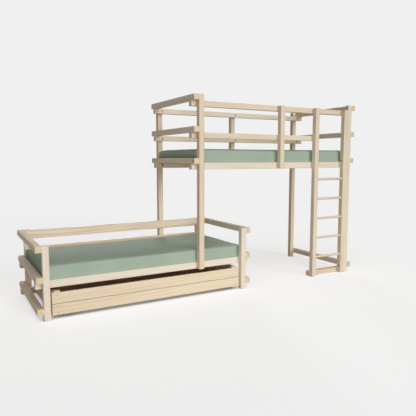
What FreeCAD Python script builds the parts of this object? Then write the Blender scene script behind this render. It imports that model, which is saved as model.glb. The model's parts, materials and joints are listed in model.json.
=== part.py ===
"""Offset bunk bed of square pine beams, with a ladder and a drawer on casters under the lower bed.

Every corner is a three-way joint. A rail runs past the inner side of a post, an end beam runs past its outer
side and lies on the rail's end, and one bolt draws each of them to the post.
Places are written from the lower bed's front left corner on the floor: X runs along the beds, Y to the rear,
Z up. The finished part has its origin under the middle of the whole bed.
"""
import FreeCAD, Part
import math
import os
import re
from collections import defaultdict

doc = FreeCAD.newDocument("bunk_bed")
sheet = doc.addObject("Spreadsheet::Sheet", "Sizes")

SIZES = [
    ("beam", 55, "square section of posts, rails, end beams and stiles"),
    ("edge_ease", 3, "chamfer on the edges of beams"),
    ("rail_notch", 12, "height that a side rail stands above the underside of the end beams"),
    ("cut_overrun", 5, "length by which a cutting shape passes the face that it opens"),
    ("lower_base_level", 320, "underside of the lower bed's middle end beams"),
    ("lower_height", 636, "top of the lower bed's posts"),
    ("upper_start", 1465, "from the lower bed's left posts to the upper bed's left posts"),
    ("upper_base_level", 1296, "underside of the upper bed's base end beams"),
    ("guard_pitch", 302, "from one guard level of the upper bed to the next"),
    ("ladder_clear_width", 380, "between the ladder's stiles"),
    ("rung_pitch", 223, "from the floor to the first rung, and from rung to rung"),
    ("rung_diameter", 28, "round rung"),
    ("rung_seat", 20, "depth of a rung in its stile"),
    ("rung_play", 0.1, "gap around a rung in its hole"),
    ("back_board_height", 88, "height of each board behind the lower mattress"),
    ("back_board_thickness", 18, "thickness of those boards"),
    ("slat_width", 70, "width of a slat"),
    ("slat_thickness", 18, "thickness of a slat, and depth of its rebate"),
    ("slat_seat", 25, "length of a slat's end that lies in the rail's rebate"),
    ("slat_play", 1, "gap between a slat's end and the wall of its rebate"),
    ("slat_margin", 35, "from the bed's end to its first slat"),
    ("mattress_length", 2000, "foam mattress"),
    ("mattress_width", 900, "foam mattress"),
    ("mattress_thickness", 126, "height of the mattress at its edge"),
    ("mattress_crown", 9, "rise of the mattress's middle above its edge"),
    ("mattress_corner_radius", 32, "upright corners of the mattress"),
    ("mattress_edge_round", 18, "rounding of the long upper edges of the mattress, and bevel of the others"),
    ("mattress_draw_in", 4, "how far the mattress's long sides pull in between its corners"),
    ("mattress_end_gap", 5, "between the mattress and the end beams"),
    ("mattress_side_gap", 1, "between the lower mattress and what stands in front of it and behind it"),
    ("drawer_side_gap", 14, "between the drawer and the posts"),
    ("drawer_setback", 24, "from the posts' front to the drawer's front"),
    ("drawer_rear_gap", 15, "between the drawer and the rear floor rail"),
    ("drawer_floor_gap", 32, "under the drawer's boards"),
    ("drawer_board_height", 95, "height of one drawer board; each wall is two boards high"),
    ("drawer_board_gap", 4, "open joint between the two boards of a drawer wall"),
    ("drawer_post_rise", 10, "height of the drawer's corner posts above its boards"),
    ("drawer_board_thickness", 18, "thickness of the drawer's boards"),
    ("drawer_board_ease", 2, "chamfer on the edges of the drawer's boards"),
    ("drawer_bottom_thickness", 10, "plywood bottom"),
    ("drawer_bottom_groove", 6, "depth of the groove that holds the bottom"),
    ("caster_inset_long", 150, "from the drawer's end to the middle of a caster"),
    ("caster_inset_deep", 110, "from the drawer's front or back to the middle of a caster"),
    ("wheel_diameter", 50, "caster wheel"),
    ("wheel_width", 18, "caster wheel"),
    ("wheel_top_gap", 3, "between the wheel and its bracket's plate"),
    ("wheel_side_gap", 2, "between the wheel and each cheek of its bracket"),
    ("bracket_sheet", 2.5, "steel sheet of the caster bracket"),
    ("bracket_length", 56, "length of the bracket's plate"),
    ("cheek_width", 22, "width of the bracket's cheeks"),
    ("axle_diameter", 6, "axle pin of a caster"),
    ("axle_play", 0.05, "gap around the axle pin"),
    ("bolt_head_diameter", 20, "flat head of a frame bolt"),
    ("bolt_head_height", 3, "height of that head"),
    ("bolt_shank_diameter", 8, "shank of a frame bolt"),
    ("bolt_grip", 35, "depth of a frame bolt in its post"),
    ("screw_head_diameter", 9, "sunk head of a board screw"),
    ("screw_head_height", 3, "depth of that head"),
    ("screw_shank_diameter", 4.5, "shank of a board screw"),
    ("screw_grip", 18, "depth of a board screw in what carries the board"),
    ("screw_edge", 22, "from a drawer wall's upper or lower edge to its screws"),
]

# Share of the height left beside the back boards that lies between them; the rest is under the lower one.
BACK_GAP_SHARE = 0.63

# Sizes that follow from the ones above.
DERIVED = {
    "bed_length": "mattress_length + 2 * mattress_end_gap",
    "bed_width": "mattress_width + 2 * mattress_side_gap + back_board_thickness + 2 * beam",
    "rear_posts": "bed_width - beam",
    "rear_rails": "bed_width - 2 * beam",
    "upper_end": "upper_start + bed_length",
    "upper_middle": "upper_start + bed_length / 2 - beam / 2",
    "upper_height": "upper_base_level + 2 * guard_pitch + beam",
    "side_rail_height": "beam + rail_notch",
    "lower_rail_bottom": "lower_base_level - beam",
    "upper_rail_bottom": "upper_base_level - beam",
    "back_board_space": "lower_height - lower_rail_bottom - side_rail_height - 2 * back_board_height",
    "back_board_gap": f"{BACK_GAP_SHARE} * back_board_space",
    "stile_height": "upper_height - beam",
    "ladder_right": "upper_end - 2 * beam",
    "ladder_left": "ladder_right - ladder_clear_width - beam",
    "drawer_left": "beam + drawer_side_gap",
    "drawer_right": "bed_length - beam - drawer_side_gap",
    "drawer_back": "rear_rails - drawer_rear_gap",
    "drawer_top": "drawer_floor_gap + 2 * drawer_board_height + drawer_board_gap",
    "drawer_bottom_level": "wheel_diameter + wheel_top_gap + bracket_sheet",
    "bracket_width": "wheel_width + 2 * wheel_side_gap + 2 * bracket_sheet",
    "origin_x": "upper_end / 2",
    "origin_y": "bed_width / 2",
}

# The twelve edges of a block.
BLOCK_EDGES = range(1, 13)
RUNG_COUNT = 5
SLAT_COUNT = 14
# Fasteners repeat many times, so their round heads and shanks are drawn with few sides.
HEAD_SIDES = 8
SHANK_SIDES = 6
# The lower ends of the caster brackets' cheeks are rounded off with flats, as half of such a rod.
CHEEK_END_SIDES = 8
# Turns along the mattress's upright corners, from its end to its side.
CORNER_TURNS = (0, math.pi / 4, math.pi / 2)
# Share of the mattress's crown that is left at its ends.
END_CROWN_SHARE = 0.4

AXES = {
    "x": FreeCAD.Vector(1, 0, 0),
    "y": FreeCAD.Vector(0, 1, 0),
    "z": FreeCAD.Vector(0, 0, 1),
}
nodes = {}
holes = defaultdict(list)


def fill_sheet():
    """Writes the sizes into the sheet, each with its name and meaning."""
    for row, (alias, value, meaning) in enumerate(SIZES, start=1):
        sheet.set(f"A{row}", meaning)
        sheet.set(f"B{row}", str(value))
        sheet.setAlias(f"B{row}", alias)
    doc.recompute()


def bind(text):
    """Turns words of the two tables above into one expression on the sheet's cells."""
    def swap(word):
        name = word.group(0)
        if name in DERIVED:
            return "(" + bind(DERIVED[name]) + ")"
        return "Sizes." + name
    return re.sub(r"[a-z_]+", swap, text)


def number(text):
    """The value of such an expression."""
    return float(sheet.evalExpression(bind(text)))


def finished(piece, label):
    """Marks an object as a finished sub-part."""
    piece.Label = label
    nodes[label] = piece
    return piece


def place(piece, corner):
    """Ties an object's place to the sheet."""
    piece.setExpression(".Placement.Base.x", bind(f"{corner[0]} - origin_x"))
    piece.setExpression(".Placement.Base.y", bind(f"{corner[1]} - origin_y"))
    piece.setExpression(".Placement.Base.z", bind(corner[2]))


def block(label, corner, size):
    """A box from its lowest corner and its three lengths."""
    piece = doc.addObject("Part::Box", label)
    for side, text in zip(("Length", "Width", "Height"), size):
        piece.setExpression(side, bind(text))
    place(piece, corner)
    return piece


def round_rod(label, start, axis, diameter, length):
    """A cylinder along X, Y or Z."""
    rod = doc.addObject("Part::Cylinder", label)
    rod.setExpression("Radius", bind(f"({diameter}) / 2"))
    rod.setExpression("Height", bind(length))
    rod.Placement.Rotation = FreeCAD.Rotation(AXES["z"], AXES[axis])
    place(rod, start)
    return rod


def faceted_rod(label, start, axis, sign, sides, diameter, length):
    """A rod with flat sides that runs from its start forwards or backwards along X or Y."""
    rod = doc.addObject("Part::Prism", label)
    rod.Polygon = sides
    rod.setExpression("Circumradius", bind(f"{diameter} / 2"))
    rod.setExpression("Height", bind(length))
    rod.Placement.Rotation = FreeCAD.Rotation(AXES["z"], AXES[axis] * sign)
    place(rod, start)
    return rod


def shifted(point, axis, text):
    """A point moved along one axis by the expression."""
    return tuple(f"{part} {text}" if name == axis else part for name, part in zip("xyz", point))


def eased(blank, size):
    """The block with all its edges chamfered."""
    piece = doc.addObject("Part::Chamfer", blank.Label + "_eased")
    piece.Base = blank
    piece.Edges = [(edge, number(size), number(size)) for edge in BLOCK_EDGES]
    return piece


def group(label, pieces):
    """Several solids as one object."""
    bundle = doc.addObject("Part::Compound", label)
    bundle.Links = pieces
    return bundle


def joined(label, first, second):
    """Two solids fused to one."""
    fuse = doc.addObject("Part::Fuse", label)
    fuse.Base = first
    fuse.Tool = second
    return fuse


def without(label, blank, tools):
    """The blank less its holes and cuts."""
    if not tools:
        return blank
    cut = doc.addObject("Part::Cut", label + "_cut")
    cut.Base = blank
    cut.Tool = group(label + "_tools", tools)
    return cut


def wooden_piece(label, corner, size, cuts=(), ease="edge_ease"):
    """A beam or board with eased edges, its cuts and the holes of its bolts and screws."""
    blank = block(label + "_blank", corner, size)
    return without(label, eased(blank, ease), list(cuts) + holes[label])


def beam_piece(label, corner, size, cuts=()):
    """A beam or board that is a sub-part by itself."""
    return finished(wooden_piece(label, corner, size, cuts), label)


# The frame's pieces

FRONT = "0"
REAR = "rear_posts"
MIDDLE_POST_HEIGHT = "stile_height - upper_rail_bottom"

# Posts and stiles: left side, front side, foot and height.
POSTS = {
    "lower_post_front_left": ("0", FRONT, "0", "lower_height"),
    "lower_post_front_right": ("bed_length - beam", FRONT, "0", "lower_height"),
    "lower_post_rear_left": ("0", REAR, "0", "lower_height"),
    "lower_post_rear_right": ("bed_length - beam", REAR, "0", "lower_height"),
    "upper_post_front_left": ("upper_start", FRONT, "lower_rail_bottom", "upper_height - lower_rail_bottom"),
    "upper_post_rear_left": ("upper_start", REAR, "0", "upper_height"),
    "upper_post_front_right": ("upper_end - beam", FRONT, "0", "upper_height"),
    "upper_post_rear_right": ("upper_end - beam", REAR, "0", "upper_height"),
    "upper_middle_post_front": ("upper_middle", FRONT, "upper_rail_bottom", MIDDLE_POST_HEIGHT),
    "upper_middle_post_rear": ("upper_middle", REAR, "upper_rail_bottom", MIDDLE_POST_HEIGHT),
    "ladder_stile_left": ("ladder_left", FRONT, "0", "stile_height"),
    "ladder_stile_right": ("ladder_right", FRONT, "0", "stile_height"),
}

LOWER_FRONT = ("lower_post_front_left", "upper_post_front_left", "lower_post_front_right")
LOWER_REAR = ("lower_post_rear_left", "upper_post_rear_left", "lower_post_rear_right")
UPPER_FRONT = (
    "upper_post_front_left",
    "upper_middle_post_front",
    "ladder_stile_left",
    "ladder_stile_right",
    "upper_post_front_right",
)
UPPER_REAR = ("upper_post_rear_left", "upper_middle_post_rear", "upper_post_rear_right")

LOWER_SPAN = ("-beam", "bed_length + beam")
UPPER_SPAN = ("upper_start - beam", "upper_end + beam")
GUARD_SPAN = ("upper_start - beam", "ladder_left + beam")
LADDER_SPAN = ("ladder_left", "upper_end + beam")
MIDDLE_GUARD = "upper_base_level + guard_pitch - beam"
TOP_GUARD = "upper_base_level + 2 * guard_pitch - beam"

# Rails: left end, right end, front or rear, underside, height, and the posts that they are bolted to.
RAILS = {
    "lower_side_rail_front": (*LOWER_SPAN, FRONT, "lower_rail_bottom", "side_rail_height", LOWER_FRONT),
    "lower_side_rail_rear": (*LOWER_SPAN, REAR, "lower_rail_bottom", "side_rail_height", LOWER_REAR),
    "lower_floor_rail_rear": (*LOWER_SPAN, REAR, "0", "beam", LOWER_REAR),
    "upper_front_rail_base": (*UPPER_SPAN, FRONT, "upper_rail_bottom", "side_rail_height", UPPER_FRONT),
    "upper_front_rail_middle": (*GUARD_SPAN, FRONT, MIDDLE_GUARD, "beam", UPPER_FRONT[:3]),
    "upper_front_rail_top": (*UPPER_SPAN, FRONT, TOP_GUARD, "beam", UPPER_FRONT),
    "upper_rear_rail_base": (*UPPER_SPAN, REAR, "upper_rail_bottom", "side_rail_height", UPPER_REAR),
    "upper_rear_rail_middle": (*UPPER_SPAN, REAR, MIDDLE_GUARD, "beam", UPPER_REAR),
    "upper_rear_rail_top": (*UPPER_SPAN, REAR, TOP_GUARD, "beam", UPPER_REAR),
    "ladder_floor_rail": (*LADDER_SPAN, FRONT, "0", "beam", UPPER_FRONT[2:]),
}

LOWER_LEVELS = {"bottom": "beam", "middle": "lower_base_level", "top": "lower_height - beam"}
UPPER_LEVELS = {
    "base": "upper_base_level",
    "middle": "upper_base_level + guard_pitch",
    "top": "upper_base_level + 2 * guard_pitch",
}
# Ends of the beds: left side of their beams, the bed's end that they lie at, the two posts and the levels.
ENDS = {
    "lower_end_beam_left": ("-beam", "left", LOWER_FRONT[0], LOWER_REAR[0], LOWER_LEVELS),
    "lower_end_beam_right": ("bed_length", "right", LOWER_FRONT[2], LOWER_REAR[2], LOWER_LEVELS),
    "upper_end_beam_left": ("upper_start - beam", "left", UPPER_FRONT[0], UPPER_REAR[0], UPPER_LEVELS),
    "upper_end_beam_right": (
        "upper_end", "right", UPPER_FRONT[4], UPPER_REAR[2], {"floor": "beam", **UPPER_LEVELS}
    ),
}
# End beams: left side, underside, the bed's end that they lie at, and their front and rear posts.
END_BEAMS = {}
for end, (left, side, front_post, rear_post, levels) in ENDS.items():
    for level, underside in levels.items():
        END_BEAMS[f"{end}_{level}"] = (left, underside, side, front_post, rear_post)
# End beams whose bolts come from the inner side, through the post. The others are bolted from outside.
INNER_BOLTS = (
    "upper_end_beam_left_middle",
    "upper_end_beam_left_top",
    "upper_end_beam_right_floor",
    "upper_end_beam_right_base",
    "upper_end_beam_right_top",
)
# Where the ladder's right stile stands beside the corner post, such a bolt goes through both.
STILE_BOLTS = ("upper_end_beam_right_floor", "upper_end_beam_right_base")


def bolt(label, seat, axis, sign, drilled):
    """A bolt whose flat head lies on the seat and whose shank draws the drilled pieces together."""
    back = "- bolt_head_height" if sign > 0 else "+ bolt_head_height"
    length = f"{len(drilled) - 1} * beam + bolt_grip"
    shank = faceted_rod(label + "_shank", seat, axis, sign, SHANK_SIDES, "bolt_shank_diameter", length)
    top = shifted(seat, axis, back)
    head = faceted_rod(label + "_head", top, axis, sign, HEAD_SIDES, "bolt_head_diameter", "bolt_head_height")
    for piece in drilled:
        holes[piece].append(shank)
    return joined(label, head, shank)


def screw(label, seat, axis, sign, thickness, drilled):
    """A screw whose head is sunk in a board and whose shank holds the board to what carries it."""
    shank = faceted_rod(
        label + "_shank", seat, axis, sign, SHANK_SIDES, "screw_shank_diameter", f"{thickness} + screw_grip"
    )
    head = faceted_rod(
        label + "_head", seat, axis, sign, SHANK_SIDES, "screw_head_diameter", "screw_head_height"
    )
    whole = joined(label, head, shank)
    for piece in drilled:
        holes[piece].append(whole)
    return whole


def make_rail_bolts():
    """One bolt at each crossing of a rail and a post, with its head on the rail's inner face."""
    bolts = []
    for rail, (_, _, side, underside, height, posts) in RAILS.items():
        inner_face = "2 * beam" if side == FRONT else "rear_rails"
        sign = -1 if side == FRONT else 1
        for post in posts:
            seat = (f"{POSTS[post][0]} + beam / 2", inner_face, f"{underside} + {height} / 2")
            bolts.append(bolt(f"{rail}_{post}_bolt", seat, "y", sign, (rail, post)))
    finished(group("rail_bolts_group", bolts), "rail_bolts")


def make_end_beam_bolts():
    """One bolt at each crossing of an end beam and a post, with its head outside or on the inner face."""
    bolts = []
    for end_beam, (left, underside, side, *posts) in END_BEAMS.items():
        for post in posts:
            drilled = [end_beam, post]
            if end_beam in STILE_BOLTS and post == "upper_post_front_right":
                drilled.append("ladder_stile_right")
            outer_face, inward = (left, 1) if side == "left" else (f"{left} + beam", -1)
            inner_face = f"{outer_face} + {inward * len(drilled)} * beam"
            face, sign = (inner_face, -inward) if end_beam in INNER_BOLTS else (outer_face, inward)
            seat = (face, f"{POSTS[post][1]} + beam / 2", f"{underside} + beam / 2")
            bolts.append(bolt(f"{end_beam}_{post}_bolt", seat, "x", sign, drilled))
    finished(group("end_beam_bolts_group", bolts), "end_beam_bolts")


def make_rungs():
    """Round rungs, glued into blind holes of the two stiles."""
    rungs = []
    inner_left = "ladder_left + beam - rung_seat"
    length = "ladder_clear_width + 2 * rung_seat"
    for step in range(1, RUNG_COUNT + 1):
        start = (inner_left, "beam / 2", f"{step} * rung_pitch")
        rungs.append(round_rod(f"rung_{step}", start, "x", "rung_diameter", length))
        hole = round_rod(f"rung_hole_{step}", start, "x", "rung_diameter + 2 * rung_play", length)
        holes["ladder_stile_left"].append(hole)
        holes["ladder_stile_right"].append(hole)
    finished(group("ladder_rungs_group", rungs), "ladder_rungs")


def make_posts():
    """Posts and ladder stiles."""
    for label, (left, front, foot, height) in POSTS.items():
        beam_piece(label, (left, front, foot), ("beam", "beam", height))


def side_rail_cuts(label, left, right, side, underside):
    """The end notches that the end beams lie in, and the rebate that the slats lie in."""
    notch_floor = f"{underside} + beam"
    notch_front = "beam - cut_overrun" if side == FRONT else "rear_rails - cut_overrun"
    notch_size = ("beam + cut_overrun", "beam + 2 * cut_overrun", "rail_notch + cut_overrun")
    seat_front = "2 * beam - slat_seat" if side == FRONT else "rear_rails - cut_overrun"
    seat_floor = f"{underside} + side_rail_height - slat_thickness"
    seat_size = ("bed_length", "slat_seat + cut_overrun", "slat_thickness + cut_overrun")
    return [
        block(label + "_left_notch", (f"{left} - cut_overrun", notch_front, notch_floor), notch_size),
        block(label + "_right_notch", (f"{right} - beam", notch_front, notch_floor), notch_size),
        block(label + "_slat_rebate", (f"{left} + beam", seat_front, seat_floor), seat_size),
    ]


def make_rails():
    """Rails on the inner side of the posts. The side rails carry the slats."""
    for label, (left, right, side, underside, height, _) in RAILS.items():
        front = "beam" if side == FRONT else "rear_rails"
        cuts = []
        if height == "side_rail_height":
            cuts = side_rail_cuts(label, left, right, side, underside)
        beam_piece(label, (left, front, underside), (f"{right} - ({left})", "beam", height), cuts)


def make_end_beams():
    """End beams on the outer side of the end posts, from the front posts' face to the rear posts' face."""
    for label, (left, underside, *_) in END_BEAMS.items():
        beam_piece(label, (left, "0", underside), ("beam", "bed_width", "beam"))


def make_back_boards():
    """Two boards on the front of the lower bed's rear posts, screwed to each post that they cross."""
    front = "rear_posts - back_board_thickness"
    undersides = {
        "lower_back_board_top": "lower_height - back_board_height",
        "lower_back_board_middle": "lower_height - 2 * back_board_height - back_board_gap",
    }
    screws = []
    for board, underside in undersides.items():
        for post in LOWER_REAR:
            seat = (f"{POSTS[post][0]} + beam / 2", front, f"{underside} + back_board_height / 2")
            screws.append(screw(f"{board}_{post}_screw", seat, "y", 1, "back_board_thickness", (board, post)))
    finished(group("back_board_screws_group", screws), "back_board_screws")
    for board, underside in undersides.items():
        beam_piece(
            board, ("0", front, underside), ("bed_length", "back_board_thickness", "back_board_height")
        )


def make_slats(label, bed_start, rail_bottom):
    """Slats across the bed, in the rebates of its side rails and level with the rails' top."""
    front = "2 * beam - slat_seat + slat_play"
    length = "rear_rails - 2 * beam + 2 * slat_seat - 2 * slat_play"
    floor = f"{rail_bottom} + side_rail_height - slat_thickness"
    step = f"(bed_length - 2 * slat_margin - slat_width) / {SLAT_COUNT - 1}"
    size = ("slat_width", length, "slat_thickness")
    slats = []
    for place_along in range(SLAT_COUNT):
        left = f"{bed_start} + slat_margin + {place_along} * {step}"
        slats.append(block(f"{label}_{place_along + 1}", (left, front, floor), size))
    finished(group(label + "_group", slats), label)


# The mattresses

def mattress_section(along, half_width, inset, crown):
    """A wire across the mattress: bevelled lower edges, round upper edges and a crowned top."""
    edge = number("mattress_edge_round")
    bend = edge * (1 - math.cos(math.pi / 4))
    inner = half_width - edge
    low = inset
    high = number("mattress_thickness") - inset
    paths = [
        ((-inner, low), (inner, low)),
        ((inner, low), (half_width, low + edge)),
        ((half_width, low + edge), (half_width, high - edge)),
        ((half_width, high - edge), (half_width - bend, high - bend), (inner, high)),
        ((inner, high), (0, high + crown), (-inner, high)),
        ((-inner, high), (bend - half_width, high - bend), (-half_width, high - edge)),
        ((-half_width, high - edge), (-half_width, low + edge)),
        ((-half_width, low + edge), (-inner, low)),
    ]
    edges = []
    for path in paths:
        points = [FreeCAD.Vector(along, across, height) for across, height in path]
        curve = Part.Arc(*points) if len(points) == 3 else Part.LineSegment(*points)
        edges.append(curve.toShape())
    return Part.Wire(edges)


def make_mattress(label, bed_start, front, rail_bottom):
    """A foam mattress on the rails and slats: round corners, drawn-in long sides and a crowned top."""
    length = number("mattress_length")
    half_width = number("mattress_width / 2")
    corner = number("mattress_corner_radius")
    crown = number("mattress_crown")
    stations = []
    for turn in CORNER_TURNS:
        along = corner * (1 - math.cos(turn))
        inset = max(0, number("mattress_edge_round") - along)
        stations.append((along, half_width - corner * (1 - math.sin(turn)), inset, END_CROWN_SHARE * crown))
    other_end = [(length - along, *rest) for along, *rest in reversed(stations)]
    stations.append((length / 2, half_width - number("mattress_draw_in"), 0, crown))
    piece = doc.addObject("Part::Feature", label)
    piece.Shape = Part.makeLoft([mattress_section(*station) for station in stations + other_end], True, True)
    left = f"{bed_start} + mattress_end_gap"
    place(piece, (left, f"{front} + mattress_width / 2", f"{rail_bottom} + side_rail_height"))
    finished(piece, label)


# The drawer

INNER_LEFT = "drawer_left + drawer_board_thickness"
INNER_RIGHT = "drawer_right - drawer_board_thickness"
INNER_FRONT = "drawer_setback + drawer_board_thickness"
INNER_BACK = "drawer_back - drawer_board_thickness"
ROWS = {
    "lower": ("drawer_floor_gap", "drawer_floor_gap + screw_edge"),
    "upper": ("drawer_top - drawer_board_height", "drawer_top - screw_edge"),
}
# Left and front side of each corner post.
CORNER_POSTS = {
    "front_left": (INNER_LEFT, INNER_FRONT),
    "front_right": (f"{INNER_RIGHT} - beam", INNER_FRONT),
    "back_left": (INNER_LEFT, f"{INNER_BACK} - beam"),
    "back_right": (f"{INNER_RIGHT} - beam", f"{INNER_BACK} - beam"),
}
# Walls: lowest corner, length and width, and the axis, direction and face that their screws come from.
WALLS = {
    "front": ("drawer_left", "drawer_setback", "drawer_right - drawer_left", "drawer_board_thickness",
              "y", 1, "drawer_setback"),
    "back": ("drawer_left", INNER_BACK, "drawer_right - drawer_left", "drawer_board_thickness",
             "y", -1, "drawer_back"),
    "left": ("drawer_left", INNER_FRONT, "drawer_board_thickness", f"{INNER_BACK} - ({INNER_FRONT})",
             "x", 1, "drawer_left"),
    "right": (INNER_RIGHT, INNER_FRONT, "drawer_board_thickness", f"{INNER_BACK} - ({INNER_FRONT})",
              "x", -1, "drawer_right"),
}


def make_drawer_screws():
    """One screw at each end of each board, into the corner post behind it."""
    screws = []
    for wall, (_, _, _, _, axis, sign, face) in WALLS.items():
        for post, (post_left, post_front) in CORNER_POSTS.items():
            if wall not in post.split("_"):
                continue
            for row, (_, screw_level) in ROWS.items():
                across = (f"{post_left} + beam / 2", f"{post_front} + beam / 2")
                seat = (face, across[1], screw_level) if axis == "x" else (across[0], face, screw_level)
                label = f"drawer_{wall}_{row}_{post}_screw"
                drilled = (f"drawer_{wall}_board_{row}", f"drawer_post_{post}")
                screws.append(screw(label, seat, axis, sign, "drawer_board_thickness", drilled))
    finished(group("drawer_screws_group", screws), "drawer_screws")


def drawer_bottom_blank(label):
    """The bottom panel before its corners are notched. It reaches into the grooves of the boards."""
    corner = (
        f"{INNER_LEFT} - drawer_bottom_groove",
        f"{INNER_FRONT} - drawer_bottom_groove",
        "drawer_bottom_level",
    )
    size = (
        f"{INNER_RIGHT} - ({INNER_LEFT}) + 2 * drawer_bottom_groove",
        f"{INNER_BACK} - ({INNER_FRONT}) + 2 * drawer_bottom_groove",
        "drawer_bottom_thickness",
    )
    return block(label, corner, size)


def make_drawer_walls():
    """Walls of two boards each, the lower ones grooved for the bottom, and the posts in the corners."""
    groove = drawer_bottom_blank("drawer_bottom_groove_cut")
    for wall, (left, front, length, width, *_) in WALLS.items():
        boards = []
        for row, (underside, _) in ROWS.items():
            label = f"drawer_{wall}_board_{row}"
            size = (length, width, "drawer_board_height")
            cuts = [groove] if row == "lower" else []
            boards.append(wooden_piece(label, (left, front, underside), size, cuts, "drawer_board_ease"))
        if wall == "front":
            for row, board in zip(ROWS, boards):
                finished(board, f"drawer_front_board_{row}")
        else:
            finished(group(f"drawer_{wall}_boards_group", boards), f"drawer_{wall}_boards")
    posts = []
    for post, (left, front) in CORNER_POSTS.items():
        size = ("beam", "beam", "drawer_top - drawer_floor_gap + drawer_post_rise")
        posts.append(wooden_piece(f"drawer_post_{post}", (left, front, "drawer_floor_gap"), size))
    finished(group("drawer_corner_posts_group", posts), "drawer_corner_posts")


def make_drawer_bottom():
    """The bottom panel, with a notch around each corner post."""
    notches = []
    for post, (left, front) in CORNER_POSTS.items():
        corner = (
            f"{left} - drawer_bottom_groove" if "left" in post else left,
            f"{front} - drawer_bottom_groove" if "front" in post else front,
            "drawer_bottom_level - cut_overrun",
        )
        side = "beam + drawer_bottom_groove"
        size = (side, side, "drawer_bottom_thickness + 2 * cut_overrun")
        notches.append(block(f"drawer_bottom_notch_{post}", corner, size))
    panel = without("drawer_bottom", drawer_bottom_blank("drawer_bottom_blank"), notches)
    finished(panel, "drawer_bottom")


def caster_bracket(name, across, along):
    """A steel plate under the drawer's bottom, with two cheeks and the axle that is riveted into them."""
    left = f"{across} - bracket_width / 2"
    right = f"{across} + bracket_width / 2 - bracket_sheet"
    front = f"{along} - cheek_width / 2"
    axle_level = "wheel_diameter / 2"
    plate_level = "drawer_bottom_level - bracket_sheet"
    plate_corner = (left, f"{along} - bracket_length / 2", plate_level)
    cheek_size = ("bracket_sheet", "cheek_width", f"{plate_level} - {axle_level}")
    solids = [block(f"{name}_plate", plate_corner, ("bracket_width", "bracket_length", "bracket_sheet"))]
    for side, start in (("left", left), ("right", right)):
        middle = (start, along, axle_level)
        solids.append(block(f"{name}_cheek_{side}", (start, front, axle_level), cheek_size))
        solids.append(faceted_rod(
            f"{name}_end_{side}", middle, "x", 1, CHEEK_END_SIDES, "cheek_width", "bracket_sheet"
        ))
    solids.append(round_rod(f"{name}_axle", (left, along, axle_level), "x", "axle_diameter", "bracket_width"))
    bracket = doc.addObject("Part::MultiFuse", name)
    bracket.Shapes = solids
    return bracket


def caster_wheel(name, across, along):
    """A wheel with a bore that runs on the axle."""
    start = (f"{across} - wheel_width / 2", along, "wheel_diameter / 2")
    tread = round_rod(f"{name}_tread", start, "x", "wheel_diameter", "wheel_width")
    bore = round_rod(f"{name}_bore", start, "x", "axle_diameter + 2 * axle_play", "wheel_width")
    return without(name, tread, [bore])


def make_casters():
    """Four fixed casters under the drawer's bottom. They roll to the front and the back."""
    columns = {"left": "drawer_left + caster_inset_long", "right": "drawer_right - caster_inset_long"}
    rows = {"front": "drawer_setback + caster_inset_deep", "back": "drawer_back - caster_inset_deep"}
    brackets = []
    for end, across in columns.items():
        for side, along in rows.items():
            brackets.append(caster_bracket(f"caster_bracket_{side}_{end}", across, along))
            name = f"caster_wheel_{side}_{end}"
            finished(caster_wheel(name, across, along), name)
    finished(group("caster_brackets_group", brackets), "caster_brackets")


# The finished part

def check_and_write():
    """Stops on any failed object, then writes one file for each sub-part."""
    doc.recompute()
    failed = [item.Label for item in doc.Objects if "Invalid" in item.State or "Error" in item.State]
    if failed:
        raise RuntimeError(f"objects that failed: {failed}")
    for label, piece in nodes.items():
        if piece.Shape.isNull() or not piece.Shape.isValid():
            raise RuntimeError(f"{label} has no valid shape")
    os.makedirs("parts", exist_ok=True)
    for label, piece in nodes.items():
        piece.Shape.exportStep(f"parts/{label}.step")
    print(f"{len(nodes)} sub-parts written")


fill_sheet()
make_rail_bolts()
make_end_beam_bolts()
make_rungs()
make_back_boards()
make_posts()
make_rails()
make_end_beams()
make_slats("lower_slats", "0", "lower_rail_bottom")
make_slats("upper_slats", "upper_start", "upper_rail_bottom")
make_mattress("lower_mattress", "0", "beam + mattress_side_gap", "lower_rail_bottom")
make_mattress("upper_mattress", "upper_start", "(bed_width - mattress_width) / 2", "upper_rail_bottom")
make_drawer_screws()
make_drawer_walls()
make_drawer_bottom()
make_casters()
check_and_write()
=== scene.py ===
"""Looks of the offset bunk bed: oiled pine, sage mattress covers, bronzed bolts and a pale studio."""
import json
import math

import bmesh
import bpy
from mathutils import Matrix, Vector


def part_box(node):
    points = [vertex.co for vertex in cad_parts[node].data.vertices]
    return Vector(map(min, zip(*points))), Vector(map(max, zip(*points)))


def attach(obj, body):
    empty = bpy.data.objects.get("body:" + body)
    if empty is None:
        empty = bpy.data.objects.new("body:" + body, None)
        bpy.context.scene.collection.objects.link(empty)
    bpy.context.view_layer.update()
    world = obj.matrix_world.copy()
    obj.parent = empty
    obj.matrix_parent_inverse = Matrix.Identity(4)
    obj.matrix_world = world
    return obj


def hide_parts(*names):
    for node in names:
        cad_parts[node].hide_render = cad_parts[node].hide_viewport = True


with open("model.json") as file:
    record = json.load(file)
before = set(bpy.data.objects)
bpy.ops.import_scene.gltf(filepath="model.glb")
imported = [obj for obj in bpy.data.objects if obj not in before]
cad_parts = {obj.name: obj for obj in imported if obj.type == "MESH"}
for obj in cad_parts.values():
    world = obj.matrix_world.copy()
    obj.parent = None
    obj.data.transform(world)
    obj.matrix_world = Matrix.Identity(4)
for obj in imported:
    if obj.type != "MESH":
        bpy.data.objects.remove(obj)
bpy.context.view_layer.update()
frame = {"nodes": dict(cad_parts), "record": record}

MM = 0.001
WELD = 0.01 * MM
AXES = {"x": 0, "y": 1, "z": 2}

# The camera stands in front of the lower bed and looks along both beds to the right.
CAMERA_PLACE = (-2.39073, -4.39248, 1.34672)
CAMERA_YAW = 0.5185
CAMERA_PITCH = 0.107
FOCAL_PIXELS = 460.1749
IMAGE_PIXELS = 416
SENSOR_MM = 36

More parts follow.
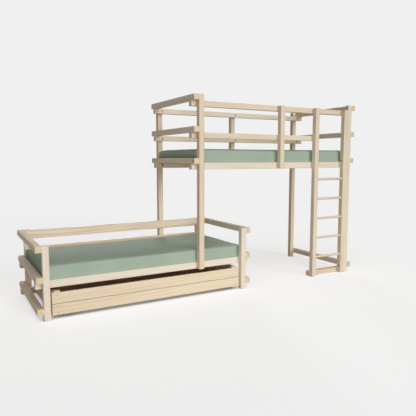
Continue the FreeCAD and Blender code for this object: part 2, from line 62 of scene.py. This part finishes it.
# Far lamps: turn to the right of the bed's front, height above the floor, strength and spread.
LAMPS = {
    "low_key": (math.radians(14), math.radians(14), 1.6, 0.45),
    "high_fill": (math.radians(-32), math.radians(52), 0.92, 1.1),
    "back_rim": (math.radians(160), math.radians(4), 2.3, 0.3),
}
# A soft box near the lower bed, aimed past the ladder.
NEAR_LAMP_PLACE = (-2.0, -4.2, 0.8)
NEAR_LAMP_AIM = (6.0, 0.0, 0.8)
NEAR_LAMP_WATTS = 58
NEAR_LAMP_WIDTH = 1.5
ROOM_LIGHT = 0.06
ROOM_COLOUR = "#FFF3E2"
BACKGROUND = "#F0F0F0"
FLOOR_HALF_WIDTH = 40
# The floor glows with this share of its brightness, so its shadows stay pale.
FLOOR_GLOW_SHARE = 0.72
FLOOR_BOUNCE = "#D8CCBE"
# Close under a piece the glow fades. Looked at this far around, it is gone where the first share is open,
# and whole from the second on.
CONTACT_REACH = 0.12
CONTACT_SHARES = (0.14, 0.5)
CONTACT_SAMPLES = 8


# Colours and nodes

def linear(code):
    """An sRGB hex colour as linear red, green and blue with full alpha."""
    shares = [int(code[place:place + 2], 16) / 255 for place in (1, 3, 5)]
    bent = [share / 12.92 if share <= 0.04045 else ((share + 0.055) / 1.055) ** 2.4 for share in shares]
    return (*bent, 1)


def feed(tree, made, inputs):
    """Gives a node its inputs, each a value or another node's output."""
    for name, value in inputs.items():
        if isinstance(value, bpy.types.NodeSocket):
            tree.links.new(value, made.inputs[name])
        else:
            made.inputs[name].default_value = value


def add(tree, kind, inputs, **choices):
    """Adds a node with its choices and inputs."""
    made = tree.nodes.new("ShaderNode" + kind)
    for name, choice in choices.items():
        setattr(made, name, choice)
    feed(tree, made, inputs)
    return made


def new_material(name):
    """An empty material with its node tree and its shader."""
    material = bpy.data.materials.new(name)
    material.use_nodes = True
    return material, material.node_tree, material.node_tree.nodes["Principled BSDF"]


# Pine: growth rings show as long lines that wander a little, with broad soft streaks, fibres and small knots.
# Real rings are 2 to 5 mm apart. They are drawn several times as coarse, so that they show.
RING_PITCH = 24 * MM
RING_SLOPE = 4200 * MM
RING_WANDER = 48
FIGURE_WIDTH = 120 * MM
FIGURE_LENGTH = 1900 * MM
FIBRE_WIDTH = 5 * MM
FIBRE_LENGTH = 380 * MM
PATCH_WIDTH = 60 * MM
PATCH_LENGTH = 1100 * MM
PLANK_SIZE = 1300 * MM
KNOT_SPACING = 80 * MM
KNOT_SPACING_ALONG = 170 * MM
KNOT_EDGE_SHARES = (0.03, 0.065)
KNOT_SHARE = 0.8
KNOT_COLOUR = "#9A6B44"
# Which part of a wave or a noise counts, and what it becomes: a share of the streaks' colour, or a level.
RING_RANGE = (-0.4, 1)
RING_SHARES = (0.15, 1)
PATCH_RANGE = (0.36, 0.66)
PATCH_SHARES = (0.2, 1)
FIBRE_RANGE = (0.3, 0.75)
FIBRE_SHARE = 0.28
PLANK_RANGE = (0.3, 0.7)
PLANK_LEVELS = (0.95, 1.04)
# A face whose normal lies this much along the grain shows end grain.
END_GRAIN_FACING = 0.8
PINE_ROUGHNESS = (0.5, 0.72)
GRAIN_BUMP = 0.35
GRAIN_DEPTH = 0.5 * MM


def pine(name, grain, pale, streak, end_grain, streak_share):
    """Planed and oiled pine with its grain along one axis. Faces across the grain show the end grain."""
    material, tree, shader = new_material(name)
    axis = AXES[grain]
    place = add(tree, "TexCoord", {})
    scales = {}
    for pattern, across, along in (
        ("figure", FIGURE_WIDTH, FIGURE_LENGTH),
        ("fibre", FIBRE_WIDTH, FIBRE_LENGTH),
        ("knot", KNOT_SPACING, KNOT_SPACING_ALONG),
        ("patch", PATCH_WIDTH, PATCH_LENGTH),
        ("plank", PLANK_SIZE, PLANK_SIZE),
    ):
        scale = [1 / across] * 3
        scale[axis] = 1 / along
        scales[pattern] = add(tree, "Mapping", {"Vector": place.outputs["Object"], "Scale": scale}).outputs[0]
    figure = add(tree, "TexNoise", {"Vector": scales["figure"], "Scale": 1, "Detail": 2, "Roughness": 0.35})
    fibre = add(tree, "TexNoise", {"Vector": scales["fibre"], "Scale": 1, "Detail": 3, "Roughness": 0.6})
    patch = add(tree, "TexNoise", {"Vector": scales["patch"], "Scale": 1, "Detail": 1})
    plank = add(tree, "TexNoise", {"Vector": scales["plank"], "Scale": 1, "Detail": 0})
    knot = add(tree, "TexVoronoi", {"Vector": scales["knot"], "Scale": 1, "Randomness": 1})
    slope = [2 * math.pi / RING_PITCH] * 3
    slope[axis] = 2 * math.pi / RING_SLOPE
    layers = add(tree, "VectorMath", {0: place.outputs["Object"], 1: slope}, operation="DOT_PRODUCT")
    turns = add(tree, "Math", {
        0: figure.outputs[0], 1: RING_WANDER, 2: layers.outputs["Value"],
    }, operation="MULTIPLY_ADD")
    wave = add(tree, "Math", {0: turns.outputs[0]}, operation="SINE")
    rings = add(tree, "MapRange", {
        "Value": wave.outputs[0], "From Min": RING_RANGE[0], "From Max": RING_RANGE[1],
    })
    strong = add(tree, "MapRange", {
        "Value": patch.outputs[0], "From Min": PATCH_RANGE[0], "From Max": PATCH_RANGE[1],
        "To Min": PATCH_SHARES[0], "To Max": PATCH_SHARES[1],
    })
    lines = add(tree, "MapRange", {
        "Value": rings.outputs[0], "To Min": RING_SHARES[0], "To Max": RING_SHARES[1],
    })
    streaks = add(tree, "Math", {0: lines.outputs[0], 1: strong.outputs[0]}, operation="MULTIPLY")
    shown = add(tree, "Math", {0: streaks.outputs[0], 1: streak_share}, operation="MULTIPLY")
    lined = add(tree, "MapRange", {
        "Value": fibre.outputs[0], "From Min": FIBRE_RANGE[0], "From Max": FIBRE_RANGE[1],
        "To Min": 0, "To Max": FIBRE_SHARE,
    })
    both = add(tree, "Math", {0: shown.outputs[0], 1: lined.outputs[0]}, operation="ADD", use_clamp=True)
    wood = add(tree, "Mix", {0: both.outputs[0], 6: linear(pale), 7: linear(streak)}, data_type="RGBA")
    knotted = add(tree, "MapRange", {
        "Value": knot.outputs["Distance"], "From Min": KNOT_EDGE_SHARES[0], "From Max": KNOT_EDGE_SHARES[1],
        "To Min": KNOT_SHARE, "To Max": 0,
    })
    spotted = add(tree, "Mix", {
        0: knotted.outputs[0], 6: wood.outputs[2], 7: linear(KNOT_COLOUR),
    }, data_type="RGBA")
    level = add(tree, "MapRange", {
        "Value": plank.outputs[0], "From Min": PLANK_RANGE[0], "From Max": PLANK_RANGE[1],
        "To Min": PLANK_LEVELS[0], "To Max": PLANK_LEVELS[1],
    })
    tinted = add(tree, "HueSaturation", {"Color": spotted.outputs[2], "Value": level.outputs[0]})
    normal = add(tree, "SeparateXYZ", {0: place.outputs["Normal"]})
    facing = add(tree, "Math", {0: normal.outputs[axis]}, operation="ABSOLUTE")
    across = add(tree, "Math", {0: facing.outputs[0], 1: END_GRAIN_FACING}, operation="GREATER_THAN")
    ended = add(tree, "Mix", {
        0: across.outputs[0], 6: tinted.outputs[0], 7: linear(end_grain),
    }, data_type="RGBA")
    dull = add(tree, "MapRange", {
        "Value": fibre.outputs[0], "To Min": PINE_ROUGHNESS[0], "To Max": PINE_ROUGHNESS[1],
    })
    bump = add(tree, "Bump", {"Strength": GRAIN_BUMP, "Distance": GRAIN_DEPTH, "Height": both.outputs[0]})
    feed(tree, shader, {
        "Base Color": ended.outputs[2],
        "Roughness": dull.outputs[0],
        "Normal": bump.outputs[0],
    })
    return material


def plywood():
    """Sanded birch plywood: an even face with a faint long figure, coloured mid brown as painted shade, so
    that the inside of the drawer reads dark.
    """
    return pine("birch_plywood_shade_brown", "x", "#C29D72", "#AA8258", "#A07A50", 0.35)


# The mattress cover is a taut cotton jersey. Its rows are about 1 mm apart and are drawn coarser to show.
JERSEY_PITCH = 7 * MM
JERSEY_DEPTH = 0.5 * MM
JERSEY_BUMP = 0.25
# The two sage tones are a darker and a lighter copy of one colour; broad patches between them are painted
# shade of soft creases.
JERSEY_COLOURS = ("#98A999", "#A1AFA1")
PAINTED_CREASE_SHADE_SIZE = 260 * MM
PAINTED_CREASE_SHADE_RANGE = (0.3, 0.7)
FUZZ_LEVELS = (0.95, 1.05)


def jersey():
    """Sage cotton jersey: matt, with a soft sheen at grazing angles, broad patches of painted crease shade
    and a faint fine mottle.
    """
    material, tree, shader = new_material("sage_cotton_jersey")
    place = add(tree, "TexCoord", {})
    # A wave texture's bands repeat every pi / (10 * scale).
    rows = add(tree, "TexWave", {
        "Vector": place.outputs["Object"], "Scale": math.pi / (10 * JERSEY_PITCH), "Distortion": 1.5,
        "Detail": 2, "Detail Scale": 3,
    }, bands_direction="DIAGONAL")
    # Broad patches of painted crease shade.
    crease_shade = add(tree, "TexNoise", {"Vector": place.outputs["Object"], "Scale": 1 / PAINTED_CREASE_SHADE_SIZE, "Detail": 3})
    fuzz = add(tree, "TexNoise", {"Vector": place.outputs["Object"], "Scale": 1 / JERSEY_PITCH, "Detail": 2})
    share = add(tree, "MapRange", {
        "Value": crease_shade.outputs[0], "From Min": PAINTED_CREASE_SHADE_RANGE[0], "From Max": PAINTED_CREASE_SHADE_RANGE[1],
    })
    cloth = add(tree, "Mix", {
        0: share.outputs[0], 6: linear(JERSEY_COLOURS[0]), 7: linear(JERSEY_COLOURS[1]),
    }, data_type="RGBA")
    level = add(tree, "MapRange", {
        "Value": fuzz.outputs[0], "To Min": FUZZ_LEVELS[0], "To Max": FUZZ_LEVELS[1],
    })
    mottled = add(tree, "HueSaturation", {"Color": cloth.outputs[2], "Value": level.outputs[0]})
    height = add(tree, "Math", {0: rows.outputs["Fac"], 1: fuzz.outputs[0]}, operation="ADD")
    bump = add(tree, "Bump", {"Strength": JERSEY_BUMP, "Distance": JERSEY_DEPTH, "Height": height.outputs[0]})
    feed(tree, shader, {
        "Base Color": mottled.outputs[0],
        "Roughness": 0.92,
        "Specular IOR Level": 0.25,
        "Sheen Weight": 0.03,
        "Sheen Roughness": 0.5,
        "Normal": bump.outputs[0],
    })
    return material


# Plated steel and nylon. Their clouds and mould grain are finer than this, and are drawn coarser to show.
METAL_GRAIN = 3 * MM
# Bright and worn colour, lowest and highest roughness.
PLATINGS = {
    "bronzed_steel": ("#A9713F", "#8A5730", 0.32, 0.5),
    "zinc_plated_steel": ("#B9BABB", "#9FA1A3", 0.3, 0.5),
}
NYLON_COLOURS = ("#2A2B2C", "#3A3B3C")
NYLON_ROUGHNESS = (0.45, 0.65)
NYLON_BUMP = 0.2
NYLON_DEPTH = 0.1 * MM


def plated_steel(name, bright, worn, rough_from, rough_to):
    """Plated steel: a metal with small clouds of duller plating."""
    material, tree, shader = new_material(name)
    place = add(tree, "TexCoord", {})
    clouds = add(tree, "TexNoise", {"Vector": place.outputs["Object"], "Scale": 1 / METAL_GRAIN, "Detail": 3})
    colour = add(tree, "Mix", {
        0: clouds.outputs[0], 6: linear(bright), 7: linear(worn),
    }, data_type="RGBA")
    dull = add(tree, "MapRange", {"Value": clouds.outputs[0], "To Min": rough_from, "To Max": rough_to})
    feed(tree, shader, {"Base Color": colour.outputs[2], "Metallic": 1, "Roughness": dull.outputs[0]})
    return material


def nylon():
    """Moulded dark grey nylon with a fine spark-eroded grain."""
    material, tree, shader = new_material("dark_grey_nylon")
    place = add(tree, "TexCoord", {})
    grain = add(tree, "TexNoise", {"Vector": place.outputs["Object"], "Scale": 1 / METAL_GRAIN, "Detail": 4})
    colour = add(tree, "Mix", {
        0: grain.outputs[0], 6: linear(NYLON_COLOURS[0]), 7: linear(NYLON_COLOURS[1]),
    }, data_type="RGBA")
    dull = add(tree, "MapRange", {
        "Value": grain.outputs[0], "To Min": NYLON_ROUGHNESS[0], "To Max": NYLON_ROUGHNESS[1],
    })
    bump = add(tree, "Bump", {"Strength": NYLON_BUMP, "Distance": NYLON_DEPTH, "Height": grain.outputs[0]})
    feed(tree, shader, {
        "Base Color": colour.outputs[2], "Roughness": dull.outputs[0], "Normal": bump.outputs[0],
    })
    return material


# What each wooden node is made of

def grain_of(node):
    """The axis that a wooden node's grain runs along."""
    if "post" in node or "stile" in node:
        return "z"
    if "end_beam" in node or "slats" in node or node in ("drawer_left_boards", "drawer_right_boards"):
        return "y"
    return "x"


# Pine of several logs: its pale wood, its streaks, its end grain, and how strongly the streaks show. The
# inner pine is darker as painted shade, and the warm pine is in part.
WOODS = {
    "frame_pine": ("#E0D7C4", "#CBAB82", "#D4C2A2", 0.5),
    "pale_frame_pine": ("#E2DBCC", "#CDB490", "#D6C6AA", 0.45),
    "warm_and_shade_darkened_pine": ("#DFD3BE", "#C6A47E", "#D2BE9B", 0.55),
    "drawer_pine": ("#E0D4BD", "#CAA67A", "#D4BF9A", 0.42),
    "back_board_pine": ("#E2DBCB", "#CC9C5C", "#D6C4A2", 0.65),
    "shade_darkened_inner_pine": ("#D6B488", "#B98A57", "#C9A06C", 0.6),
}
PALE_NODES = (
    "lower_post_front_left", "lower_post_front_right", "lower_side_rail_front",
    "upper_front_rail_base", "upper_post_front_right",
)
# Pieces of a warmer, slightly darker pine. The first four differ in tone; for the upper rear posts and the
# lower left end beams the darker pine is painted shade on their shaded faces.
WARM_TONE_AND_SHADE_NODES = (
    "upper_middle_post_front", "upper_post_front_left", "ladder_rungs", "ladder_floor_rail",
    "upper_post_rear_left", "upper_post_rear_right",
    "lower_end_beam_left_top", "lower_end_beam_left_middle", "lower_end_beam_left_bottom",
)


def wood_of(node):
    """Which pine a wooden node is cut from."""
    # The slats take a darker, more orange pine as painted shade for the inside of the bed.
    if "slats" in node:
        return "shade_darkened_inner_pine"
    if node.startswith("drawer_"):
        return "drawer_pine"
    if "back_board" in node:
        return "back_board_pine"
    if node in PALE_NODES:
        return "pale_frame_pine"
    if node in WARM_TONE_AND_SHADE_NODES:
        return "warm_and_shade_darkened_pine"
    return "frame_pine"


def finish_wood():
    """Gives every wooden node its pine or plywood."""
    made = {}
    for node, piece in frame["nodes"].items():
        if piece_slots[node] == "plywood":
            paint(piece, plywood())
        if piece_slots[node] == "pine":
            key = f"{wood_of(node)}_along_{grain_of(node)}"
            if key not in made:
                made[key] = pine(key, grain_of(node), *WOODS[wood_of(node)])
            paint(piece, made[key])


def paint(piece, material):
    """Gives a piece one material."""
    piece.data.materials.clear()
    piece.data.materials.append(material)


def new_piece(name, mesh, material, body, *nodes):
    """An object for a finished mesh that rides on a body and stands for CAD nodes."""
    piece = bpy.data.objects.new(name, mesh)
    bpy.context.scene.collection.objects.link(piece)
    paint(piece, material)
    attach(piece, body)
    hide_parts(*nodes)
    return piece


def mesh_of(name, shape):
    """Turns a bmesh into a smooth-shaded mesh."""
    mesh = bpy.data.meshes.new(name)
    shape.to_mesh(mesh)
    shape.free()
    mesh.shade_smooth()
    return mesh


# Mattresses
CELL = 22 * MM
SIDE_ROOM = 2 * MM
SWELL = 9 * MM
CORNER_RADIUS = 15 * MM
CORNER_SEGMENTS = 6
EDGE_RADIUS = 26 * MM
FOOT_RADIUS = 4 * MM
EDGE_SEGMENTS = 4
# The sides draw in and the ends bulge with these powers of the way out from the middle.
DRAW_IN = 4 * MM
DRAW_IN_POWER = 3
END_BULGE = 12 * MM
END_BULGE_POWER = 9
# Shares of a mattress's height between which its ends bulge, above the end beams.
BULGE_SHARES = (0.4, 1)
PINNED_HEIGHT = 14 * MM
# How far the blown-up top may stay below the top of the CAD mattress. The lower one is softer.
TOP_ROOM = {"lower_mattress": 16 * MM, "upper_mattress": 7 * MM}
CLOTH_FRAMES = 20
CLOTH_PRESSURE = 3
CLOTH_SLACK = -0.004
CLOTH_BENDING = 4


def mattress_blank(low, high, top_room):
    """A block a little smaller than the CAD mattress, with round corners and edges, cut into small cells."""
    shape = bmesh.new()
    inset = Vector((SIDE_ROOM, SIDE_ROOM, 0))
    foot = low + inset
    top = high - inset - Vector((0, 0, top_room))
    bmesh.ops.create_cube(shape, size=1)
    bmesh.ops.scale(shape, vec=top - foot, verts=shape.verts)
    bmesh.ops.translate(shape, vec=(top + foot) / 2, verts=shape.verts)
    upright = [edge for edge in shape.edges if abs(edge.verts[0].co.z - edge.verts[1].co.z) > EDGE_RADIUS]
    bmesh.ops.bevel(
        shape, geom=upright, offset=CORNER_RADIUS, affect="EDGES", segments=CORNER_SEGMENTS, profile=0.5,
        material=-1,
    )
    for level, radius in ((top.z, EDGE_RADIUS), (foot.z, FOOT_RADIUS)):
        rim = [edge for edge in shape.edges if all(abs(vertex.co.z - level) < MM for vertex in edge.verts)]
        bmesh.ops.bevel(
            shape, geom=rim, offset=radius, affect="EDGES", segments=EDGE_SEGMENTS, profile=0.5, material=-1,
        )
    for axis in range(3):
        side = Vector((0, 0, 0))
        side[axis] = 1
        cells = max(2, round((top[axis] - foot[axis]) / CELL))
        for count in range(1, cells):
            cut = foot.lerp(top, count / cells)
            whole = shape.verts[:] + shape.edges[:] + shape.faces[:]
            bmesh.ops.bisect_plane(shape, geom=whole, dist=WELD, plane_co=cut, plane_no=side)
    return shape


def draw_in_sides(mesh, low, high):
    """Pulls the long sides and the ends in a little between the corners."""
    middle = (low + high) / 2
    half = (high - low) / 2
    for vertex in mesh.vertices:
        along = (vertex.co.x - middle.x) / half.x
        across = (vertex.co.y - middle.y) / half.y
        vertex.co.x -= DRAW_IN * along ** DRAW_IN_POWER * max(0, 1 - across ** 2)
        vertex.co.y -= DRAW_IN * across ** DRAW_IN_POWER * max(0, 1 - along ** 2)


def bulge_ends(mesh, low, high):
    """Lets the ends swell over the end beams, which hold them in below."""
    start, stop = BULGE_SHARES
    middle = (low.x + high.x) / 2
    half = (high.x - low.x) / 2
    for vertex in mesh.vertices:
        rise = (vertex.co.z - low.z) / (high.z - low.z)
        share = min(1, max(0, (rise - start) / (stop - start)))
        along = (vertex.co.x - middle) / half
        vertex.co.x += END_BULGE * along ** END_BULGE_POWER * math.sin(math.pi * share) ** 2


def puff_up(piece, low, high):
    """Blows the cover up from inside, with its underside held, and keeps it inside the CAD box."""
    start = [vertex.co.copy() for vertex in piece.data.vertices]
    held = piece.vertex_groups.new(name="underside")
    pinned = [vertex.index for vertex in piece.data.vertices if vertex.co.z < low.z + PINNED_HEIGHT]
    held.add(pinned, 1, "ADD")
    cloth = piece.modifiers.new("cover", "CLOTH")
    cloth.settings.vertex_group_mass = held.name
    cloth.settings.use_pressure = True
    cloth.settings.uniform_pressure_force = CLOTH_PRESSURE
    cloth.settings.shrink_min = CLOTH_SLACK
    cloth.settings.bending_stiffness = CLOTH_BENDING
    cloth.settings.effector_weights.gravity = 0
    for step in range(1, CLOTH_FRAMES + 1):
        bpy.context.scene.frame_set(step)
    ready = piece.evaluated_get(bpy.context.evaluated_depsgraph_get())
    blown = [vertex.co.copy() for vertex in ready.data.vertices]
    piece.modifiers.remove(cloth)
    bpy.context.scene.frame_set(1)
    for vertex, old, new in zip(piece.data.vertices, start, blown):
        move = new - old
        if move.length > SWELL:
            move.length = SWELL
        goal = old + move
        vertex.co = [min(max(goal[axis], low[axis]), high[axis]) for axis in range(3)]


def make_mattress(node, material):
    """A foam mattress in a taut cover, crowned and soft at its edges."""
    low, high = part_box(node)
    mesh = mesh_of(node + "_cover", mattress_blank(low, high, TOP_ROOM[node]))
    piece = new_piece(node + "_cover", mesh, material, "frame", node)
    draw_in_sides(piece.data, low, high)
    puff_up(piece, low, high)
    bulge_ends(piece.data, low, high)
    smooth = piece.modifiers.new("fine", "SUBSURF")
    smooth.levels = 1
    smooth.render_levels = 1


# Bolts and screws
HEAD_SEGMENTS = 24
SOCKET_SHARE = 0.32
SOCKET_DEPTH_SHARE = 0.7
RIM_SHARE = 0.35
RIM_SEGMENTS = 2
SHANK_SEGMENTS = 12
FASTENER_CREASE = math.radians(35)


def solids_of(node):
    """The corner points of each solid in a CAD node."""
    shape = bmesh.new()
    shape.from_mesh(frame["nodes"][node].data)
    bmesh.ops.remove_doubles(shape, verts=shape.verts, dist=WELD)
    left = set(shape.verts)
    solids = []
    while left:
        reached = [left.pop()]
        for vertex in reached:
            for edge in vertex.link_edges:
                other = edge.other_vert(vertex)
                if other in left:
                    left.discard(other)
                    reached.append(other)
        solids.append([vertex.co.copy() for vertex in reached])
    shape.free()
    return solids


def fastener_place(points):
    """Where a bolt's or screw's head ends, which way it points, and its sizes."""
    low = Vector([min(point[axis] for point in points) for axis in range(3)])
    high = Vector([max(point[axis] for point in points) for axis in range(3)])
    size = high - low
    axis = max(range(3), key=lambda place: size[place])
    middle = (low + high) / 2
    across = [place for place in range(3) if place != axis]
    reach = {}
    for side, end in ((1, low), (-1, high)):
        near = [point for point in points if abs(point[axis] - end[axis]) < WELD]
        spread = [Vector([point[place] - middle[place] for place in across]) for point in near]
        reach[side] = max(offset.length for offset in spread)
    side = max(reach, key=reach.get)
    way = Vector((0, 0, 0))
    way[axis] = side
    middle[axis] = low[axis] if side > 0 else high[axis]
    steps = sorted({round(abs(point[axis] - middle[axis]), 5) for point in points})
    return middle, way, reach[side], steps[1], reach[-side], steps[-1]


def fastener(head_radius, head_height, shank_radius, length):
    """A bolt with a flat round head, an eased rim and a hexagon socket. It points along Z from its head."""
    shape = bmesh.new()
    bmesh.ops.create_cone(
        shape, cap_ends=True, segments=HEAD_SEGMENTS, radius1=head_radius, radius2=head_radius,
        depth=head_height, matrix=Matrix.Translation((0, 0, head_height / 2)),
    )
    outer = [edge for edge in shape.edges if all(vertex.co.z < WELD for vertex in edge.verts)]
    bmesh.ops.bevel(
        shape, geom=outer, offset=RIM_SHARE * head_height, affect="EDGES", segments=RIM_SEGMENTS, profile=0.5,
        material=-1,
    )
    top = min(shape.faces, key=lambda face: face.calc_center_median().z)
    reach = max(vertex.co.xy.length for vertex in top.verts)
    socket_radius = SOCKET_SHARE * head_radius
    bmesh.ops.inset_region(shape, faces=[top], thickness=reach - socket_radius)
    for vertex in top.verts:
        turn = math.atan2(vertex.co.y, vertex.co.x) % (math.pi / 3) - math.pi / 6
        flat = socket_radius / math.cos(turn)
        vertex.co.xy = vertex.co.xy.normalized() * flat
    bottom = bmesh.ops.extrude_discrete_faces(shape, faces=[top])["faces"][0]
    bmesh.ops.translate(shape, vec=(0, 0, SOCKET_DEPTH_SHARE * head_height), verts=bottom.verts)
    bmesh.ops.create_cone(
        shape, cap_ends=True, segments=SHANK_SEGMENTS, radius1=shank_radius, radius2=shank_radius,
        depth=length - head_height, matrix=Matrix.Translation((0, 0, (length + head_height) / 2)),
    )
    return mesh_of("fastener", shape)


def make_fasteners(node, material, body):
    """Finer bolts or screws in the place of a CAD group."""
    shape = bmesh.new()
    kinds = {}
    for points in solids_of(node):
        middle, way, *sizes = fastener_place(points)
        length = round(sizes[-1], 4)
        if length not in kinds:
            kinds[length] = fastener(*sizes)
        before = len(shape.verts)
        shape.from_mesh(kinds[length])
        shape.verts.ensure_lookup_table()
        turn = way.to_track_quat("Z", "Y").to_matrix().to_4x4()
        bmesh.ops.transform(shape, matrix=Matrix.Translation(middle) @ turn, verts=shape.verts[before:])
    mesh = mesh_of(node + "_turned", shape)
    mesh.set_sharp_from_angle(angle=FASTENER_CREASE)
    new_piece(node + "_turned", mesh, material, body, node)


# Caster wheels
WHEEL_STEPS = 48
WHEEL_CREASE = math.radians(40)
# Half of a wheel's section, from its bore to its tread, as shares of half its width and of its radius.
WHEEL_SHARES = (
    (0.62, 0.125), (1, 0.14), (1, 0.28), (0.55, 0.34), (0.5, 0.62),
    (0.8, 0.7), (0.9, 0.86), (0.78, 0.95), (0.45, 1),
)


def make_wheel(node, material):
    """A moulded wheel with a hub, a dish in each face and a rounded tread."""
    low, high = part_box(node)
    middle = (low + high) / 2
    half_width = (high.x - low.x) / 2
    radius = (high.z - low.z) / 2
    shape = bmesh.new()
    section = [(share * half_width, reach * radius) for share, reach in WHEEL_SHARES]
    section += [(-along, reach) for along, reach in reversed(section)]
    ring = [shape.verts.new(middle + Vector((along, 0, reach))) for along, reach in section]
    edges = [shape.edges.new((ring[place - 1], ring[place])) for place in range(len(ring))]
    bmesh.ops.spin(
        shape, geom=ring + edges, cent=middle, axis=(1, 0, 0), angle=2 * math.pi, steps=WHEEL_STEPS,
        use_merge=True,
    )
    bmesh.ops.remove_doubles(shape, verts=shape.verts, dist=WELD)
    bmesh.ops.recalc_face_normals(shape, faces=shape.faces)
    mesh = mesh_of(node + "_moulded", shape)
    mesh.set_sharp_from_angle(angle=WHEEL_CREASE)
    new_piece(node + "_moulded", mesh, material, node + "_body", node)


# The studio

def make_camera():
    """A level camera at the photograph's angle."""
    data = bpy.data.cameras.new("camera")
    data.sensor_width = SENSOR_MM
    data.lens = SENSOR_MM * FOCAL_PIXELS / IMAGE_PIXELS
    camera = bpy.data.objects.new("camera", data)
    camera.location = CAMERA_PLACE
    camera.rotation_euler = (math.pi / 2 - CAMERA_PITCH, 0, -CAMERA_YAW)
    bpy.context.scene.collection.objects.link(camera)
    bpy.context.scene.camera = camera


def hang_lamp(data, towards):
    """A lamp of the given kind whose light comes from the given direction."""
    lamp = bpy.data.objects.new(data.name, data)
    lamp.rotation_euler = towards.to_track_quat("Z", "Y").to_euler()
    bpy.context.scene.collection.objects.link(lamp)
    return lamp


def make_lamps():
    """A low, soft key light from the front right, a softer one from the upper left, and one from behind."""
    for name, (yaw, height, strength, spread) in LAMPS.items():
        data = bpy.data.lights.new(name, "SUN")
        data.energy = strength
        data.angle = spread
        level = math.cos(height)
        hang_lamp(data, Vector((level * math.sin(yaw), -level * math.cos(yaw), math.sin(height))))


def make_near_lamp(floor):
    """A round soft box at the front left, near enough that faces turned left get lighter towards the ladder.

    It is kept off the floor, which stays even, and out of sight.
    """
    data = bpy.data.lights.new("near_fill", "AREA")
    data.shape = "DISK"
    data.size = NEAR_LAMP_WIDTH
    data.energy = NEAR_LAMP_WATTS
    lamp = hang_lamp(data, Vector(NEAR_LAMP_PLACE) - Vector(NEAR_LAMP_AIM))
    lamp.location = NEAR_LAMP_PLACE
    lamp.visible_camera = False
    unlit = bpy.data.collections.new("not_lit_by_near_fill")
    unlit.objects.link(floor)
    unlit.collection_objects[0].light_linking.link_state = "EXCLUDE"
    lamp.light_linking.receiver_collection = unlit


def seen_directly(tree):
    """1 where the camera looks at the background, straight or by way of metal."""
    path = add(tree, "LightPath", {})
    seen = add(tree, "Math", {
        0: path.outputs["Is Camera Ray"], 1: path.outputs["Is Glossy Ray"],
    }, operation="MAXIMUM")
    return add(tree, "Math", {
        0: seen.outputs[0], 1: path.outputs["Is Transmission Ray"],
    }, operation="MAXIMUM").outputs[0]


def make_room():
    """Even light from all sides, seen as a pale background."""
    world = bpy.data.worlds.new("room")
    world.use_nodes = True
    tree = world.node_tree
    bpy.context.scene.world = world
    even = linear(ROOM_COLOUR)
    colour = add(tree, "Mix", {
        0: seen_directly(tree), 6: [ROOM_LIGHT * part for part in even[:3]] + [1], 7: linear(BACKGROUND),
    }, data_type="RGBA")
    feed(tree, tree.nodes["Background"], {"Color": colour.outputs[2], "Strength": 1})


def make_floor():
    """A pale floor that runs out into the background and keeps the bed's shadow."""
    shape = bmesh.new()
    bmesh.ops.create_grid(shape, x_segments=1, y_segments=1, size=FLOOR_HALF_WIDTH)
    mesh = mesh_of("floor", shape)
    floor = bpy.data.objects.new("floor", mesh)
    bpy.context.scene.collection.objects.link(floor)
    material, tree, shader = new_material("pale_floor")
    tree.nodes.remove(shader)
    far_light = sum(strength * math.sin(height) for _, height, strength, _ in LAMPS.values())
    lit = ROOM_LIGHT + far_light / math.pi
    goal = linear(BACKGROUND)
    glow = [FLOOR_GLOW_SHARE * part for part in goal[:3]] + [1]
    rest = [(1 - FLOOR_GLOW_SHARE) * part / lit for part in goal[:3]] + [1]
    reached = add(tree, "AmbientOcclusion", {"Distance": CONTACT_REACH}, samples=CONTACT_SAMPLES)
    open_share = add(tree, "MapRange", {
        "Value": reached.outputs["AO"], "From Min": CONTACT_SHARES[0], "From Max": CONTACT_SHARES[1],
    })
    glowing = add(tree, "Emission", {"Color": glow, "Strength": open_share.outputs[0]})
    shaded = add(tree, "BsdfDiffuse", {"Color": rest})
    shown = add(tree, "AddShader", {0: glowing.outputs[0], 1: shaded.outputs[0]})
    plain = add(tree, "BsdfDiffuse", {"Color": linear(FLOOR_BOUNCE)})
    mixed = add(tree, "MixShader", {0: seen_directly(tree), 1: plain.outputs[0], 2: shown.outputs[0]})
    feed(tree, tree.nodes["Material Output"], {"Surface": mixed.outputs[0]})
    paint(floor, material)
    return floor


# The dressed bed in its studio
piece_slots = {part["node"]: part["material_slot"] for part in frame["record"]["subparts"]}
bpy.context.scene.view_settings.view_transform = "Standard"
make_camera()
make_lamps()
make_room()
make_near_lamp(make_floor())
finish_wood()
cover = jersey()
for mattress in ("lower_mattress", "upper_mattress"):
    make_mattress(mattress, cover)
bronzed = plated_steel("bronzed_steel", *PLATINGS["bronzed_steel"])
zinc = plated_steel("zinc_plated_steel", *PLATINGS["zinc_plated_steel"])
for bolts in ("rail_bolts", "end_beam_bolts"):
    make_fasteners(bolts, bronzed, "frame")
make_fasteners("back_board_screws", zinc, "frame")
make_fasteners("drawer_screws", bronzed, "drawer")
paint(frame["nodes"]["caster_brackets"], zinc)
wheel_nylon = nylon()
for wheel in sorted(node for node in frame["nodes"] if node.startswith("caster_wheel")):
    make_wheel(wheel, wheel_nylon)
